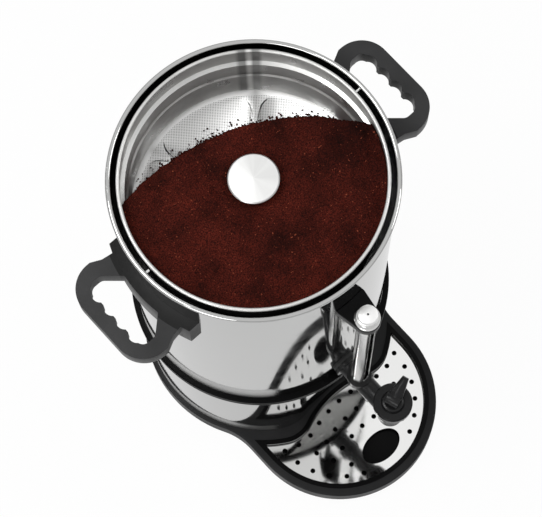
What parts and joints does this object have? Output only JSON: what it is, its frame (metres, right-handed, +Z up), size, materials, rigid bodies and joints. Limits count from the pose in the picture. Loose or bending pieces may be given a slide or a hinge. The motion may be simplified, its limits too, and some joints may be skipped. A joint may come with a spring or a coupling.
{
  "type": "coffee urn",
  "caption": "Tall stainless coffee urn, open at the top, with filter basket, side handles, level gauge, front tap and a drip tray on a black base.",
  "frame": {"origin": "on the urn's upright axis, at the surface it stands on", "axes": "+Z up along the vessel's axis, -Y towards the tap and the drip tray, the handles at -X and +X"},
  "size_m": [0.356, 0.357, 0.5165],
  "materials": {
    "mirror_steel": "polished stainless sheet",
    "satin_steel": "satin stainless",
    "plate_steel": "polished stainless sheet",
    "bright_steel": "bright plated",
    "black_moulding": "fine satin",
    "handle_plastic": "matt, fine grain",
    "tap_plastic": "semi-gloss",
    "rubber": "matt",
    "glass": "clear",
    "aluminium": "as rolled",
    "electric_plastic": "satin",
    "brass": "bright",
    "lamp_red": "clear tinted",
    "lamp_amber": "clear tinted",
    "coffee": "loose ground coffee"
  },
  "bodies": {
    "urn": {"base_platform": "black_moulding", "body_band": "black_moulding", "bottom_plate": "satin_steel", "deck_plate": "satin_steel", "foot_front_left": "rubber", "foot_front_right": "rubber", "foot_rear_left": "rubber", "foot_rear_right": "rubber", "foot_tongue_left": "rubber", "foot_tongue_right": "rubber", "gauge_bracket_top": "handle_plastic", "gauge_cap": "bright_steel", "gauge_nut": "bright_steel", "gauge_seal_bottom": "rubber", "gauge_seal_top": "rubber", "gauge_shield": "bright_steel", "handle_left": "handle_plastic", "handle_left_screw_front": "bright_steel", "handle_left_screw_rear": "bright_steel", "handle_right": "handle_plastic", "handle_right_screw_front": "bright_steel", "handle_right_screw_rear": "bright_steel", "heat_plate": "aluminium", "inlet_pin_earth": "brass", "inlet_pin_left": "brass", "inlet_pin_right": "brass", "lamp_power": "lamp_red", "lamp_ready": "lamp_amber", "lid_pin_left": "bright_steel", "lid_pin_right": "bright_steel", "pedestal_housing": "mirror_steel", "power_inlet": "electric_plastic", "ring_heater": "satin_steel", "sight_glass": "glass", "switch_bezel": "electric_plastic", "switch_terminals": "brass", "tap_body": "tap_plastic", "tap_bonnet": "tap_plastic", "tap_nut": "bright_steel", "tap_shank": "bright_steel", "tap_washer_inside": "rubber", "tap_washer_outside": "rubber", "terminal_block": "electric_plastic", "thermal_cutout": "electric_plastic", "thermostat": "electric_plastic", "valve_spring": "bright_steel", "vessel": "mirror_steel"},
    "riser": {"riser_tube": "satin_steel"},
    "basket": {"filter_basket": "satin_steel", "basket_floor": "satin_steel", "basket_sleeve": "satin_steel", "coffee_grounds": "coffee"},
    "cap": {"riser_cap": "satin_steel"},
    "tray": {"drip_tray": "black_moulding"},
    "plate": {"drip_plate": "plate_steel"},
    "stem": {"valve_stem": "bright_steel", "seat_cup": "rubber"},
    "lever": {"tap_lever": "tap_plastic", "lever_pin": "bright_steel"},
    "rocker": {"rocker_switch": "electric_plastic"}
  },
  "joints": [
    {"name": "riser_lift", "type": "slide", "parent": "urn", "child": "riser", "axis": [0, 0, 1], "range_m": [0, 0.33]},
    {"name": "basket_lift", "type": "slide", "parent": "riser", "child": "basket", "axis": [0, 0, 1], "range_m": [0, 0.09]},
    {"name": "cap_lift", "type": "slide", "parent": "basket", "child": "cap", "axis": [0, 0, 1], "range_m": [0, 0.03]},
    {"name": "tray_lift", "type": "slide", "parent": "urn", "child": "tray", "axis": [0, 0, 1], "range_m": [0, 0.05]},
    {"name": "plate_lift", "type": "slide", "parent": "tray", "child": "plate", "axis": [0, 0, 1], "range_m": [0, 0.03]},
    {"name": "stem_lift", "type": "slide", "parent": "urn", "child": "stem", "axis": [0, 0, 1], "range_m": [0, 0.0039]},
    {"name": "lever_tilt", "type": "hinge", "parent": "stem", "child": "lever", "pos_m": [0, -0.1916, 0.2687], "axis": [0.3007, -0.9537, 0], "range_deg": [0, 40], "stiffness_Nm_per_rad": 0.01},
    {"name": "rocker_tilt", "type": "hinge", "parent": "urn", "child": "rocker", "pos_m": [0.1228, 0, 0.0737], "axis": [0, 1, 0], "range_deg": [-8, 8]}
  ],
  "couplings": [
    {"joint": "lever_tilt", "follows": "stem_lift", "rad_per_m": 179.01}
  ]
}
